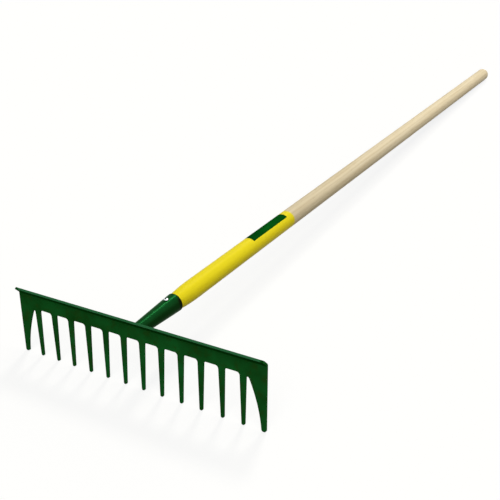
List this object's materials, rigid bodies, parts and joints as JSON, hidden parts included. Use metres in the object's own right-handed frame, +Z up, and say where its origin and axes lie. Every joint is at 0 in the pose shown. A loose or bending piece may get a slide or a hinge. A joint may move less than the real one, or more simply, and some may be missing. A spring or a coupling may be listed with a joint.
{
  "type": "garden rake",
  "caption": "Straight garden rake: stamped steel head with flat tapered tines and a folded lip, welded to a rolled socket that holds a turned wooden handle.",
  "frame": {"origin": "bottom centre of the box, on the floor that the tine tips and the handle's far end rest on", "axes": "+X along the head, +Y from the head along the handle, +Z up from the floor"},
  "size_m": [0.39, 1.4304, 0.0966],
  "materials": {
    "green_head_paint": "semi-gloss dark green paint over stamped steel",
    "green_socket_paint": "glossy dark green paint over rolled sheet",
    "green_weld_paint": "dark green paint over a rippled weld bead",
    "handle_wood": "sanded ash, with glossy yellow lacquer on the lower part and one plain green band",
    "zinc_plate": "bright zinc plating"
  },
  "bodies": {
    "root": {"rake_head": "green_head_paint", "socket": "green_socket_paint", "socket_weld": "green_weld_paint", "handle": "handle_wood", "socket_screw": "zinc_plate"}
  },
  "joints": []
}
